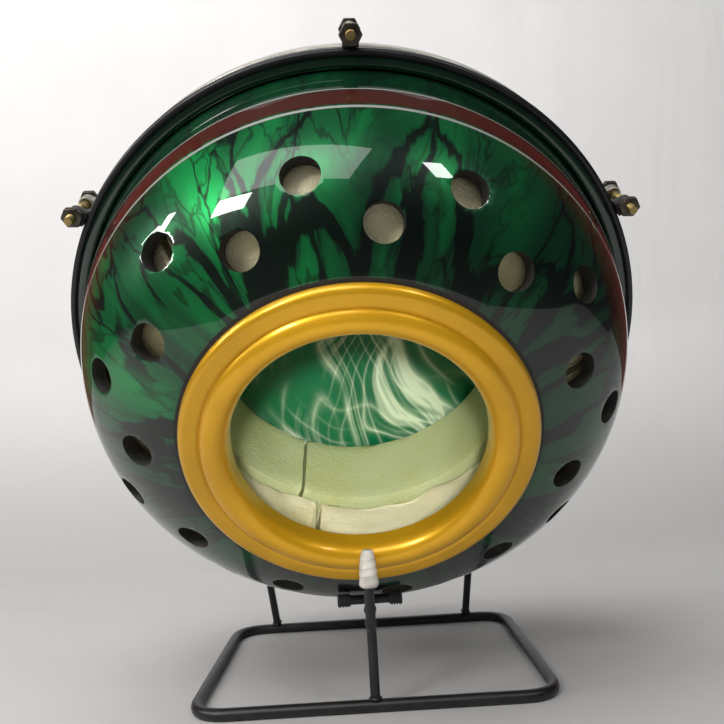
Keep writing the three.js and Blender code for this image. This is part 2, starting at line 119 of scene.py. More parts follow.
class DrumSizes(bpy.types.PropertyGroup):
    """Sizes of the drum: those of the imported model, and of finer forms on it."""

    lean: angle(35.1, "How far the drum's axis dips below level towards the sound hole")
    rim_radius: length(192.5, "Outer radius of the shell under the hoops")
    belly_taper: FloatProperty(description="Narrowing per length of bowl", default=0.16)
    belly_length: length(126.5, "Depth to which the belly's curve would run")
    belly_fullness: FloatProperty(description="Squareness of the belly", default=3.5)
    wall: length(9, "Thickness of the shell")
    rim_depth: length(34, "From the rear hoop's face to the bearing edge")
    opening_radius: length(86, "Radius of the bowl's opening under the ring")
    seat_radius: length(109, "Radius of the flat that the ring sits on")
    vent_radius: length(11, "Radius of a vent hole")
    vent_count: IntProperty(description="Vent holes in each row", default=11)
    vent_start: angle(81.9, "Turn of the first vent of the inner row")
    inner_vents: length(135.5, "Radius of the inner row of vents")
    outer_vents: length(158, "Radius of the outer row of vents")
    hoop_radius: length(205, "Outer radius of both hoops")
    hoop_width: length(11.5, "Radial width of the rear hoop")
    hoop_depth: length(10, "Depth of the rear hoop along the axis")
    flange_setback: length(5, "How far the shell's flange stays inside the hoops")
    flange_thickness: length(4.7, "Thickness of the shell's flange")
    gap: length(0.3, "Gap between pieces that touch")
    film: length(0.9, "Thickness of the head and its skirt")
    skirt_end: length(24.5, "How far short of the rear hoop the skirt ends")
    counter_end: length(17.5, "How far short of the rear hoop the counter hoop ends")
    counter_strip: length(5.4, "Thickness of the counter hoop's strip")
    counter_lip: length(2.9, "Thickness of the counter hoop's lip")
    flesh_depth: length(5.5, "Depth of the flesh hoop along the axis")
    flesh_width: length(4.4, "Radial width of the flesh hoop")
    ring_outer: length(106.8, "Outer radius of the sound hole ring")
    ring_inner: length(77.6, "Radius of the sound hole")
    ring_groove: length(94.5, "Radius of the ring's groove")
    ring_bead: length(6.4, "Height of the ring's outer bead")
    ring_rise: length(10.4, "Height of the ring's inner roll")
    bolt_standoff: length(7.5, "From the hoops to the bolts' axes")
    bolt_radius: length(3, "Radius of a tension bolt")
    bolt_end: length(12, "How far a bolt stands past the rear hoop")
    bolt_count: IntProperty(description="Tension bolts round the hoops", default=6)
    bolt_start: angle(87.8, "Turn of the first bolt")
    hex_flats: length(12.5, "Width over flats of heads and nuts")
    hex_chamfer: length(0.7, "Rounding of the corners of heads and nuts")
    head_height: length(4, "Height of a bolt's head")
    nut_height: length(5, "Height of a nut")
    thread_start: length(-16, "Station at which a bolt's thread starts")
    thread_pitch: length(1, "Pitch of a bolt's thread")
    thread_depth: length(0.45, "Depth of a bolt's thread")
    lug_width: length(10, "Width of a lug, which is round about its bolt")
    lug_depth: length(8, "Depth of a lug along the axis")
    foam_band_inner: length(109, "Inner radius of the foam by the head")
    foam_band_end: length(38, "Station at which the foam by the head ends")
    foam_pad_inner: length(106, "Inner radius of the foam pads in the bowl")
    foam_pad_end: length(122, "Belly radius at which the pads end")
    foam_pad_count: IntProperty(description="Pads round the bowl", default=3)
    foam_pad_turn: angle(72, "Turn of the first pad's middle")
    foam_joint: length(3.6, "Gap between the foam pieces")
    # The painted band near the rim is a painted reflection of the room
    band_start: length(32.5, "Station at which the painted band starts")
    band_end: length(50, "Station at which the painted band ends")


class StandSizes(bpy.types.PropertyGroup):
    """Sizes of the stand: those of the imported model, and of finer forms on it."""

    base_rod: length(4, "Radius of the base loop's rod")
    base_half_width: length(120.6, "Half the width of the base loop")
    base_front: length(-46, "Front bar, from the rear hoop's centre")
    base_rear: length(138.5, "Rear bar, from the rear hoop's centre")
    base_corner: length(25, "Length of each corner's bend")
    rod: length(3.2, "Radius of the other rods")
    upright_inset: length(34.6, "From the base's side to an upright")
    hook_front: length(-66.2, "Front leg of the hook, from the rear hoop's centre")
    hook_low: length(57, "Height of the hook's root")
    hook_bend: length(10, "Length of the hook's bend")
    tape_wide: length(6.9, "Radius of the tape's low end")
    tape_narrow: length(4.4, "Radius of the tape's top")
    tip_length: length(9, "Length of a rest tip")
    tip_radius: length(4.6, "Radius of a rest tip")
    dome: length(6.5, "Radius of an upright's cap")
    cap_skirt: length(16, "Length of an upright's cap below its dome")
    upright_turn: angle(26, "Turn of an upright's cap from the lowest point of the rear hoop")


class DrumColours(bpy.types.PropertyGroup):
    """Colours of the finishes."""

    # The two greens are also the painted light and painted shade of the lacquer's fade
    bright_green: colour(0.003, 0.360, 0.078, "Open parts of the lacquer")
    deep_green: colour(0.002, 0.040, 0.016, "Shaded parts of the lacquer")
    vein: colour(0.0015, 0.006, 0.004, "Dark veins in the lacquer")
    # Maroon and the pale line paint the room's reflection near the rim; the gloss also sees maroon on the
    # sheet's far ends
    maroon: colour(0.105, 0.014, 0.010, "Band near the rim")
    pale_reflection: colour(0.55, 0.55, 0.52, "Fine line beside the band")
    gold: colour(0.62, 0.325, 0.010, "Sound hole ring")
    film_green: colour(0.005, 0.200, 0.078, "Ground of the printed head")
    film_wisp: colour(0.62, 0.72, 0.50, "Wisps of the printed head")
    plate: colour(0.62, 0.60, 0.52, "Plated counter hoop")
    black_coat: colour(0.005, 0.005, 0.006, "Coated rods and rear hoop")
    yellow_zinc: colour(0.48, 0.36, 0.14, "Tension bolts")
    dark_steel: colour(0.14, 0.12, 0.10, "Nuts")
    band_foam: colour(0.52, 0.56, 0.30, "Foam by the head")
    pad_foam: colour(0.76, 0.70, 0.47, "Foam in the bowl")
    tape: colour(0.42, 0.40, 0.355, "Tape on the hook")
    rubber: colour(0.012, 0.012, 0.012, "Caps and tips")
    sheet: colour(0.65, 0.635, 0.625, "Floor and backdrop")


# Finishes from nodes


class Shade:
    """A shader value. Arithmetic on it adds Math nodes."""

    def __init__(self, finish, socket):
        self.finish = finish
        self.socket = socket

    def __add__(self, other):
        return self.finish.math("ADD", self, other)

    __radd__ = __add__

    def __sub__(self, other):
        return self.finish.math("SUBTRACT", self, other)

    def __rsub__(self, other):
        return self.finish.math("SUBTRACT", other, self)

    def __mul__(self, other):
        return self.finish.math("MULTIPLY", self, other)

    __rmul__ = __mul__

    def __truediv__(self, other):
        return self.finish.math("DIVIDE", self, other)

    def __pow__(self, other):
        return self.finish.math("POWER", self, other)

    def __abs__(self):
        return self.finish.math("ABSOLUTE", self)

    def __gt__(self, other):
        return self.finish.math("GREATER_THAN", self, other)

    def __lt__(self, other):
        return self.finish.math("LESS_THAN", self, other)

    def held(self):
        """The value, held between 0 and 1."""
        return self.finish.node("ShaderNodeClamp", inputs={"Value": self})


class Finish:
    """A material that is built up from nodes."""

    def __init__(self, name, **constants):
        self.material = bpy.data.materials.new(name)
        self.material.use_nodes = True
        self.tree = self.material.node_tree
        self.shader = self.tree.nodes["Principled BSDF"]
        for socket, value in constants.items():
            self.shader.inputs[socket.replace("_", " ")].default_value = value

    def put(self, socket, value):
        """Links a value to a socket, or sets it there."""
        if isinstance(value, Shade):
            self.tree.links.new(value.socket, socket)
        elif socket.type == "RGBA" and len(value) == 3:
            socket.default_value = (*value, 1)
        else:
            socket.default_value = value

    def node(self, kind, settings=None, inputs=None, output=0):
        """Adds a node with its settings and socket values, and returns one of its outputs."""
        made = self.tree.nodes.new(kind)
        for name, value in (settings or {}).items():
            setattr(made, name, value)
        for name, value in (inputs or {}).items():
            self.put(made.inputs[name], value)
        return Shade(self, made.outputs[output])

    def math(self, operation, *values):
        inputs = dict(enumerate(values))
        return self.node("ShaderNodeMath", {"operation": operation}, inputs)

    def place(self):
        return self.node("ShaderNodeTexCoord", output="Object")

    def stretched(self, place, scale):
        return self.node("ShaderNodeMapping", inputs={"Vector": place, "Scale": scale})

    def noise(self, place, scale, detail=3.0, rough=0.5, distortion=0.0):
        inputs = {"Vector": place, "Scale": scale, "Detail": detail, "Roughness": rough}
        return self.node("ShaderNodeTexNoise", inputs={**inputs, "Distortion": distortion})

    def vector_math(self, operation, first, second):
        return self.node("ShaderNodeVectorMath", {"operation": operation}, {0: first, 1: second})

    def warped(self, place, scale, amount):
        """The place, pushed about by a noise."""
        inputs = {"Vector": place, "Scale": scale, "Detail": 2.0}
        push = self.node("ShaderNodeTexNoise", inputs=inputs, output="Color")
        centred = self.vector_math("SUBTRACT", push, (0.5, 0.5, 0.5))
        sized = self.node("ShaderNodeVectorMath", {"operation": "SCALE"}, {0: centred, "Scale": amount})
        return self.vector_math("ADD", place, sized)

    def edges(self, place, scale):
        """How far the place lies from the edge of its cell."""
        inputs = {"Vector": place, "Scale": scale}
        return self.node("ShaderNodeTexVoronoi", {"feature": "DISTANCE_TO_EDGE"}, inputs, output="Distance")

    def pores(self, place, scale):
        return self.node("ShaderNodeTexVoronoi", inputs={"Vector": place, "Scale": scale}, output="Distance")

    def dot(self, vector, direction):
        settings = {"operation": "DOT_PRODUCT"}
        return self.node("ShaderNodeVectorMath", settings, {0: vector, 1: direction}, output="Value")

    def mix(self, factor, first, second):
        inputs = {0: factor, 6: first, 7: second}
        return self.node("ShaderNodeMix", {"data_type": "RGBA"}, inputs, output=2)

    def steps(self, value, low, high):
        """0 below low, 1 above high and a smooth slope between."""
        settings = {"interpolation_type": "SMOOTHSTEP"}
        inputs = {"Value": value, "From Min": low, "From Max": high}
        return self.node("ShaderNodeMapRange", settings, inputs)

    def bump(self, height, distance, strength=1.0):
        inputs = {"Height": height, "Distance": distance, "Strength": strength}
        normal = self.node("ShaderNodeBump", inputs=inputs)
        self.put(self.shader.inputs["Normal"], normal)

    def grain(self, scale, distance, strength):
        """A fine even bump."""
        self.bump(self.noise(self.place(), scale, 3, 0.6), distance, strength)

    def set(self, socket, value):
        self.put(self.shader.inputs[socket], value)


def scaled(tone, factor):
    return tuple(part * factor for part in tone)


def sizes():
    return bpy.context.scene.drum_sizes


def stand_sizes():
    return bpy.context.scene.stand_sizes


def colours():
    return bpy.context.scene.drum_colours


# Places on the drum


def drum_axis():
    """From the head towards the sound hole."""
    return Vector((0, -math.cos(sizes().lean), -math.sin(sizes().lean)))


def drum_centre():
    """Middle of the rear hoop's face, from which radii and stations are measured."""
    low, high = REAR_HOOP_BOX
    return (low + high) / 2 + sizes().hoop_depth / 2 * drum_axis()


def drum_up():
    return Vector((0, -math.sin(sizes().lean), math.cos(sizes().lean)))


def on_drum(radius, station, turn=0.0):
    """A point from its radius, its station along the axis and its turn from the right side."""
    around = math.cos(turn) * ACROSS + math.sin(turn) * drum_up()
    return drum_centre() + station * drum_axis() + radius * around


def belly(turn):
    """Radius and station of the bowl's outside, from the rim at 0 to the middle."""
    s = sizes()
    power = 2 / s.belly_fullness
    station = s.belly_length * math.sin(turn) ** power
    radius = (s.rim_radius - s.belly_taper * station) * math.cos(turn) ** power
    return Vector((radius, station))


def belly_normal(turn):
    step = 1e-4
    along = (belly(turn + step) - belly(turn - step)).normalized()
    return Vector((along.y, -along.x))


def belly_turn(radius):
    low, high = 0.001, math.pi / 2 - 0.001
    for _ in range(60):
        middle = (low + high) / 2
        if belly(middle).x > radius:
            low = middle
        else:
            high = middle
    return low


def belly_line(count, depth=0.0, last_radius=None):
    """Points under the bowl's outside, from near the rim to the ring's seat."""
    last = belly_turn(last_radius or sizes().seat_radius)
    turns = [last * (i / count) ** 1.4 for i in range(1, count + 1)]
    points = [belly(turn) - depth * belly_normal(turn) for turn in turns]
    return [(point.x, point.y) for point in points]


def seat_station():
    return belly(belly_turn(sizes().seat_radius)).y


def arc(middle, across, along, first, last, count):
    """Points of an ellipse's arc, in radius and station, between two angles in degrees."""
    points = []
    for i in range(count + 1):
        turn = math.radians(first + (last - first) * i / count)
        points.append((middle[0] + across * math.cos(turn), middle[1] + along * math.sin(turn)))
    return points


def bend(start, corner, end, count=10):
    """Points of a rod's bend from start to end, drawn towards the corner."""
    points = []
    for i in range(count + 1):
        t = i / count
        points.append((1 - t) ** 2 * start + 2 * t * (1 - t) * corner + t * t * end)
    return points


def bolt_ring():
    """Radius of the ring on which the bolts' axes lie."""
    return sizes().hoop_radius + sizes().bolt_standoff


def lip_face():
    """Station of the counter hoop's face, on which the front lugs sit."""
    s = sizes()
    return -s.skirt_end - s.flesh_depth - s.gap - s.counter_lip


# Modelling steps


def select_only(piece):
    bpy.ops.object.select_all(action="DESELECT")
    piece.select_set(True)
    bpy.context.view_layer.objects.active = piece


def edit(piece):
    select_only(piece)
    bpy.ops.object.mode_set(mode="EDIT")
    bpy.ops.mesh.select_all(action="SELECT")


def done_editing():
    bpy.ops.object.mode_set(mode="OBJECT")


def extruded(move):
    """Extrudes what is selected in edit mode, and leaves edit mode with the faces turned outwards."""
    bpy.ops.mesh.extrude_region_move(TRANSFORM_OT_translate={"value": move})
    bpy.ops.mesh.select_all(action="SELECT")
    bpy.ops.mesh.normals_make_consistent(inside=False)
    done_editing()


def cylinder(place, along, radius, depth, sides):
    """A cylinder or prism about a place, as a tool or a blank."""
    bpy.ops.object.select_all(action="DESELECT")
    bpy.ops.mesh.primitive_cylinder_add(
        vertices=sides, radius=radius, depth=depth, location=place,
        rotation=along.to_track_quat("Z", "Y").to_euler())
    return bpy.context.object


def drawn(name, points):
    """A plane collapsed to one corner, which is then extruded along the points."""
    bpy.ops.object.select_all(action="DESELECT")
    bpy.ops.mesh.primitive_plane_add(size=MM, location=points[0])
    piece = bpy.context.object
    piece.name = name
    edit(piece)
    bpy.ops.mesh.merge(type="CENTER")
    for here, there in zip(points, points[1:]):
        bpy.ops.mesh.extrude_region_move(TRANSFORM_OT_translate={"value": there - here})
    bpy.ops.mesh.select_all(action="SELECT")
    bpy.ops.mesh.remove_doubles(threshold=1e-6)
    done_editing()
    bpy.ops.object.transform_apply(location=True, rotation=True, scale=True)
    return piece


def tidy_shell(piece):
    edit(piece)
    bpy.ops.mesh.remove_doubles(threshold=2e-6)
    bpy.ops.mesh.normals_make_consistent(inside=False)
    done_editing()


def smooth(piece, limit=35):
    select_only(piece)
    bpy.ops.object.shade_smooth_by_angle(angle=math.radians(limit))


def apply_modifier(piece, kind, **settings):
    select_only(piece)
    modifier = piece.modifiers.new(kind.title(), kind)
    for name, value in settings.items():
        setattr(modifier, name, value)
    bpy.ops.object.modifier_apply(modifier=modifier.name)


def soften(piece, width, segments=3):
    settings = {"limit_method": "ANGLE", "angle_limit": math.radians(38)}
    apply_modifier(piece, "BEVEL", width=width, segments=segments, **settings)


def spun(name, line, centre, axis, steps, sweep=2 * math.pi):
    """A drawn line, spun round an axis, with its ends filled where it isn't one full turn."""
    piece = drawn(name, line)
    edit(piece)
    bpy.ops.mesh.spin(steps=steps, angle=sweep, center=centre, axis=axis)
    bpy.ops.mesh.select_all(action="SELECT")
    bpy.ops.mesh.remove_doubles(threshold=2e-6)
    if abs(sweep - 2 * math.pi) > 1e-6:
        bpy.ops.mesh.select_all(action="DESELECT")
        bpy.ops.mesh.select_non_manifold()
        bpy.ops.mesh.fill_holes(sides=0)
        bpy.ops.mesh.select_all(action="SELECT")
    bpy.ops.mesh.normals_make_consistent(inside=False)
    done_editing()
    return piece


def turned(name, profile, steps=ROUND_STEPS):
    """A ring on the drum's axis from a profile that closes on itself."""
    line = [on_drum(radius, station) for radius, station in [*profile, profile[0]]]
    return spun(name, line, drum_centre(), drum_axis(), steps)


def turned_on(name, profile, foot, along, steps=SMALL_STEPS):
    """A solid turned on any axis. Its profile starts and ends on that axis."""
    aside = along.orthogonal().normalized()
    line = [foot + station * along + radius * aside for radius, station in profile]
    return spun(name, line, foot, along, steps)


def rod(name, points, radius, closed=False):
    """A drawn line made a round bar."""
    piece = drawn(name, [*points, points[0]] if closed else points)
    bpy.ops.object.convert(target="CURVE")
    piece = bpy.context.object
    piece.data.bevel_depth = radius
    piece.data.bevel_resolution = 6
    piece.data.use_fill_caps = not closed
    bpy.ops.object.convert(target="MESH")
    piece = bpy.context.object
    tidy_shell(piece)
    smooth(piece, 50)
    return piece


def cut(piece, tool):
    """Takes the tool's shape out of the piece and deletes the tool."""
    apply_modifier(piece, "BOOLEAN", operation="DIFFERENCE", solver="EXACT", object=tool)
    bpy.data.objects.remove(tool, do_unlink=True)


def roughened(piece, amount, grain):
    """Sinks the surface by a soft noise, never raising it."""
    cloud = bpy.data.textures.new(piece.name + "_lumps", "CLOUDS")
    cloud.noise_scale = grain
    cloud.noise_depth = 1
    settings = {"strength": amount, "mid_level": 1.0, "texture_coords": "GLOBAL"}
    apply_modifier(piece, "DISPLACE", texture=cloud, **settings)


def joined(first, *others):
    bpy.ops.object.select_all(action="DESELECT")
    for piece in (first, *others):
        piece.select_set(True)
    bpy.context.view_layer.objects.active = first
    bpy.ops.object.join()
    return first


def dress(piece, finish, body, slot, *nodes):
    """Gives a piece its finish and its body, and hides the solids that it stands for."""
    piece.data.materials.clear()
    piece.data.materials.append(finish.material)
    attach(piece, body)
    if nodes:
        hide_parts(*nodes)


def two_tone(piece, finish, chosen):
    """Gives a second finish to the faces that are chosen by radius, station and normal."""
    piece.data.materials.append(finish.material)
    for face in piece.data.polygons:
        offset = face.center - drum_centre()
        station = offset.dot(drum_axis())
        around = offset - station * drum_axis()
        lean_out = face.normal.dot(around.normalized()), face.normal.dot(drum_axis())
        face.material_index = int(chosen(around.length, station, lean_out))


def copied_round(piece, name, turn):
    """A copy with its own mesh, turned round the drum's axis."""
    copy = piece.copy()
    copy.data = piece.data.copy()
    copy.name = name
    bpy.context.collection.objects.link(copy)
    there = Matrix.Translation(drum_centre())
    copy.data.transform(there @ Matrix.Rotation(turn, 4, drum_axis()) @ there.inverted())
    return copy


# Finishes of the pieces


def lacquer():
    """Veined green lacquer under a thick clear coat, with painted light and shade in its green and a painted
    reflection of the room near the rim: a maroon band with pale lines.
    """
    c = colours()
    s = sizes()
    made = Finish("green_lacquer", Metallic=0.62, Roughness=0.40, Coat_Weight=1.0, Coat_Roughness=0.02)
    offset = made.vector_math("SUBTRACT", made.place(), drum_centre())
    across = made.dot(offset, ACROSS)
    upward = made.dot(offset, drum_up())
    station = made.dot(offset, drum_axis())
    radius = made.math("SQRT", across * across + upward * upward) + 1e-5
    reach = station - radius

    # The pattern is stretched from the ring to the rim, and bent ever more finely
    spread = made.node("ShaderNodeCombineXYZ", inputs={
        "X": across / radius * 0.17 + VEIN_DRAW, "Y": upward / radius * 0.17, "Z": reach * 0.24})
    bowed = made.warped(spread, 17, 0.055)
    crooked = made.warped(bowed, 70, 0.012)
    frayed = made.warped(crooked, 260, 0.0035)

    # Dark veins lie along the cells' edges and thin out towards the rim
    girth = made.noise(spread, 22, 2, 0.5)
    taper = made.steps(radius, 0.180, 0.112)
    trunk = 1 - made.steps(made.edges(frayed, 13) - 0.085 * girth * taper, 0.004, 0.026)
    bough = 1 - made.steps(made.edges(frayed, 25) - 0.070 * girth * taper, 0.004, 0.034)
    twig = 1 - made.steps(made.edges(made.warped(frayed, 95, 0.012), 50), 0.008, 0.060)
    shadow = 1 - made.steps(made.edges(crooked, 13), 0.02, 0.24)

    # Between them the green dims at random with smoke, and has painted light and shade: painted brightest
    # over the top left and darker towards the right, the bottom and the ring
    smoke = made.steps(made.noise(bowed, 10, 3, 0.55, 0.3), 0.40, 0.60)
    haze = made.steps(made.noise(bowed, 30, 4, 0.6, 0.6), 0.42, 0.75)
    some = made.steps(made.noise(spread, 14, 2, 0.5), 0.40, 0.54)
    near_ring = made.steps(radius, 0.098, 0.116)
    painted_light_over_top = made.steps(upward / radius * 0.95 - across / radius * 0.45, 0.15, 1.00)
    painted_light_share = (1 - smoke * 0.9) * near_ring * (0.12 + 0.88 * painted_light_over_top)
    open_green = made.mix(painted_light_share, c.deep_green, c.bright_green)
    hazed = made.mix((haze * 0.45 + shadow * 0.6).held(), open_green, c.deep_green)
    dark = (trunk + bough * some * 0.95 + twig * (0.25 + some * 0.4)).held()
    veined = made.mix(dark * 0.97, hazed, c.vein)

    # Band and stripes near the rim: a painted reflection of the room
    # Painted shade and a painted reflection of the dark hoop: the green darkens to deep green towards the
    # rim
    rim_side = made.steps(station, 0.056, 0.030)
    rim_painted_shade = made.mix(rim_side * 0.75, veined, c.deep_green)
    # The maroon band and the pale lines beside it are a painted reflection of the room
    band = (station > s.band_start) * (station < s.band_end)
    grain = made.noise(made.place(), 90, 4, 0.6)
    wide_pale_reflection = abs(station - (s.band_end + 2.8 * MM)) < 1.2 * MM
    fine_pale_reflection = abs(station - (s.band_start - 1.6 * MM)) < 0.6 * MM
    with_reflected_band = made.mix(band * (0.82 + 0.18 * grain), rim_painted_shade, c.maroon)
    made.set("Base Color", made.mix((wide_pale_reflection + fine_pale_reflection).held() * 0.9, with_reflected_band, c.pale_reflection))
    made.bump(made.noise(made.place(), 38, 2, 0.4), 0.00012, 0.35)
    return made


def hoop_lacquer():
    """Deep green lacquer on the rear hoop's face."""
    made = Finish("hoop_lacquer", Roughness=0.25, Coat_Weight=1.0, Coat_Roughness=0.04)
    cloud = made.noise(made.place(), 12, 3, 0.5)
    deep = colours().deep_green
    made.set("Base Color", made.mix(cloud, scaled(deep, 0.15), scaled(deep, 0.8)))
    return made


def bare_fibre():
    """Dark resin and fibre where the shell is cut."""
    made = Finish("bare_fibre", Roughness=0.6)
    speck = made.noise(made.place(), 420, 4, 0.7)
    made.set("Base Color", made.mix(speck, (0.006, 0.006, 0.006), (0.030, 0.028, 0.024)))
    made.bump(speck, 0.0003, 0.6)
    return made


def gold_paint():
    """Metallic gold paint with fine flake and a soft clear coat."""
    made = Finish("gold_paint", Coat_Weight=0.45, Coat_Roughness=0.12, Metallic=0.6)
    flake = made.noise(made.place(), 1500, 2, 0.6)
    cloud = made.noise(made.place(), 26, 3, 0.5)
    gold = colours().gold
    paler = scaled(gold, 1.25)
    tone = made.mix(cloud, scaled(gold, 0.72), paler)
    made.set("Base Color", made.mix(flake * 0.35, tone, paler))
    made.set("Roughness", 0.26 + 0.16 * flake)
    made.grain(300, 0.00012, 0.4)
    return made


def printed_film():
    """Green film printed with pale drifting wisps."""
    c = colours()
    made = Finish("printed_film", Roughness=0.33, Coat_Weight=0.25, Coat_Roughness=0.2)
    place = made.place()
    across = made.dot(place, ACROSS)
    upward = made.dot(place, drum_up())
    flat = made.node("ShaderNodeCombineXYZ", inputs={"X": across, "Y": upward * 0.55, "Z": 0.0})
    wisp = 0.0

    # Each set of strands has its slant, spacing, scale of drift and swing
    strands = ((0.15, 0.085, 7.0, 0.30), (-0.22, 0.075, 8.0, 0.32), (0.42, 0.100, 6.5, 0.28))
    for number, (slant, spacing, scale, swing) in enumerate(strands):
        moved = made.vector_math("ADD", flat, (number * 3.1, number, 0))
        drift = made.noise(moved, scale, 1.6, 0.35)
        line = (across + upward * slant + drift * swing) / spacing
        ribbon = 1 - abs(made.math("FRACT", line) * 2 - 1)
        threads = 1 - abs(made.math("FRACT", line * 5.3 + drift * 2) * 2 - 1)
        veil = made.steps(made.noise(moved, scale * 2.1, 2, 0.5), 0.36, 0.58)
        fine_lines = threads ** 7.0 * ribbon ** 0.6
        smoke = made.steps(ribbon, 0.74, 0.90) * made.steps(threads, 0.05, 0.45)
        wisp = veil * (fine_lines * 0.95 + smoke * 0.55) + wisp
    ground = made.mix(made.noise(place, 9, 3, 0.5), scaled(c.film_green, 0.45), c.film_green)
    made.set("Base Color", made.mix(wisp.held(), ground, c.film_wisp))
    made.grain(500, 0.00005, 0.5)
    return made


def metal(name, tone, low, high, scale, metallic=0.9):
    """Plated or bare metal with rubbed patches and fine scratches."""
    made = Finish(name, Metallic=metallic)
    patch = made.noise(made.place(), scale, 4, 0.6)
    made.set("Base Color", made.mix(made.steps(patch, 0.35, 0.7), scaled(tone, 0.6), tone))
    made.set("Roughness", low + (high - low) * patch)
    made.grain(scale * 14, 0.00006, 0.5)
    return made


def black_coat():
    """Satin black coat, a little uneven, with dust in places."""
    tone = colours().black_coat
    made = Finish("black_coat", Metallic=0.0, Coat_Weight=0.15, Coat_Roughness=0.3)
    cloud = made.noise(made.place(), 45, 4, 0.6)
    made.set("Base Color", made.mix(made.steps(cloud, 0.45, 0.8), tone, scaled(tone, 2.6)))
    made.set("Roughness", 0.34 + 0.22 * cloud)
    made.grain(700, 0.00010, 0.5)
    return made


def foam(name, tone):
    """Open foam: pores, soft lumps and yellowed places."""
    made = Finish(name, Roughness=0.95, Specular_IOR_Level=0.15)
    age = made.noise(made.place(), 16, 4, 0.6)
    cell = made.pores(made.place(), 520)
    aged = (tone[0] * 0.93, tone[1] * 0.90, tone[2] * 0.66)
    made.set("Base Color", made.mix(made.steps(age, 0.35, 0.75), tone, aged))
    made.bump(cell + 2.0 * made.noise(made.place(), 75, 3, 0.6), 0.0008, 0.55)
    return made


def rubber():
    """Black rubber with a dull bloom."""
    made = Finish("black_rubber", Roughness=0.7)
    tone = colours().rubber
    bloom = made.noise(made.place(), 160, 4, 0.6)
    made.set("Base Color", made.mix(bloom, tone, scaled(tone, 2.2)))
    made.grain(900, 0.00012, 0.6)
    return made


def tape():
    """Wrapped cloth tape, with a fine weave and grey thumbed places."""
    made = Finish("white_tape", Roughness=0.75)
    tone = colours().tape
    soil = made.noise(made.place(), 130, 4, 0.65)
    made.set("Base Color", made.mix(made.steps(soil, 0.4, 0.75), tone, scaled(tone, 0.72)))
    weave = made.noise(made.stretched(made.place(), (1, 1, 2.2)), 1300, 2, 0.5)
    made.bump(weave, 0.00018, 0.7)
    return made


# Pieces


class DRUM_OT_bowl(bpy.types.Operator):
    """Lacquered bowl with two rows of vent holes"""

    bl_idname = "drum.bowl"
    bl_label = "Bowl"

    def profile(self):
        s = sizes()
        edge = 1.5 * MM
        inner = s.rim_radius - s.wall
        flange_low = -s.hoop_depth - s.gap
        flange_high = flange_low - s.flange_thickness
        flange = s.hoop_radius - s.flange_setback
        seat = seat_station()
        return [
            (inner + edge, -s.rim_depth),
            (s.rim_radius - edge, -s.rim_depth),
            (s.rim_radius, -s.rim_depth + edge),
            (s.rim_radius, flange_high),
            (flange, flange_high),
            (flange, flange_low),
            (s.rim_radius, flange_low),
            (s.rim_radius, 0),
            *belly_line(44),
            (s.opening_radius, seat),
            (s.opening_radius, seat - s.wall),
            *reversed(belly_line(20, s.wall)),
            (inner, 0),
            (inner, -s.rim_depth + edge),
        ]

    def vent_tool(self):
        s = sizes()
        tools = []
        step = 2 * math.pi / s.vent_count
        for ring, start in ((s.inner_vents, s.vent_start), (s.outer_vents, s.vent_start + step / 2)):
            turn = belly_turn(ring)
            middle = belly(turn)
            normal = belly_normal(turn)
            for i in range(s.vent_count):
                around = start + i * step
                place = on_drum(middle.x, middle.y, around)
                outward = on_drum(normal.x, normal.y, around) - drum_centre()
                tools.append(cylinder(place, outward, s.vent_radius, 4 * s.wall, 56))
        return joined(*tools)

    def is_bare(self, radius, station, lean_out):
        """Whether a face lies under the lacquered outside."""
        s = sizes()
        if station < 0:
            return radius < s.rim_radius - 1.2 * MM
        level = (radius / (s.rim_radius - s.belly_taper * station)) ** s.belly_fullness
        level += (station / s.belly_length) ** s.belly_fullness
        outward = lean_out[0] + lean_out[1] * station / s.belly_length
        return level < 0.975 or outward < 0.45 * math.hypot(1, station / s.belly_length)

    def execute(self, context):
        piece = turned("bowl", self.profile(), 192)
        cut(piece, self.vent_tool())
        soften(piece, 0.5 * MM, 2)
        dress(piece, lacquer(), "drum", "green_lacquer", "drum_bowl")
        two_tone(piece, bare_fibre(), self.is_bare)
        smooth(piece, 30)
        return {"FINISHED"}


class DRUM_OT_sound_ring(bpy.types.Operator):
    """Gold ring round the sound hole, with an outer bead, a groove and an inner roll"""

    bl_idname = "drum.sound_ring"
    bl_label = "Sound hole ring"

    def execute(self, context):
        s = sizes()
        seat = seat_station() + s.gap
        bead = (s.ring_outer - 5 * MM, seat + 0.25 * s.ring_bead)
        middle = (s.ring_groove + s.ring_inner) / 2
        spigot = s.opening_radius - s.gap
        foot = seat - 8.5 * MM
        piece = turned("sound_ring", [
            (spigot, seat),
            (s.ring_outer - 1.2 * MM, seat),
            *arc(bead, 5 * MM, 0.75 * s.ring_bead, -15, 90, 14),
            (s.ring_groove + 2.6 * MM, seat + 1.05 * s.ring_bead),
            (s.ring_groove + 1.0 * MM, seat + 1.04 * s.ring_bead),
            (s.ring_groove + 0.4 * MM, seat + 0.97 * s.ring_bead),
            (s.ring_groove, seat + 0.94 * s.ring_bead),
            (s.ring_groove - 0.4 * MM, seat + 0.98 * s.ring_bead),
            *arc((middle, seat + 4 * MM), 8.4 * MM, s.ring_rise - 4 * MM, 30, 90, 12),
            *arc((middle, seat), middle - s.ring_inner, s.ring_rise, 90, 180, 18)[1:],
            (s.ring_inner, foot),
            (spigot, foot),
        ])
        dress(piece, gold_paint(), "drum", "gold_paint", "sound_hole_ring")
        smooth(piece, 40)
        return {"FINISHED"}


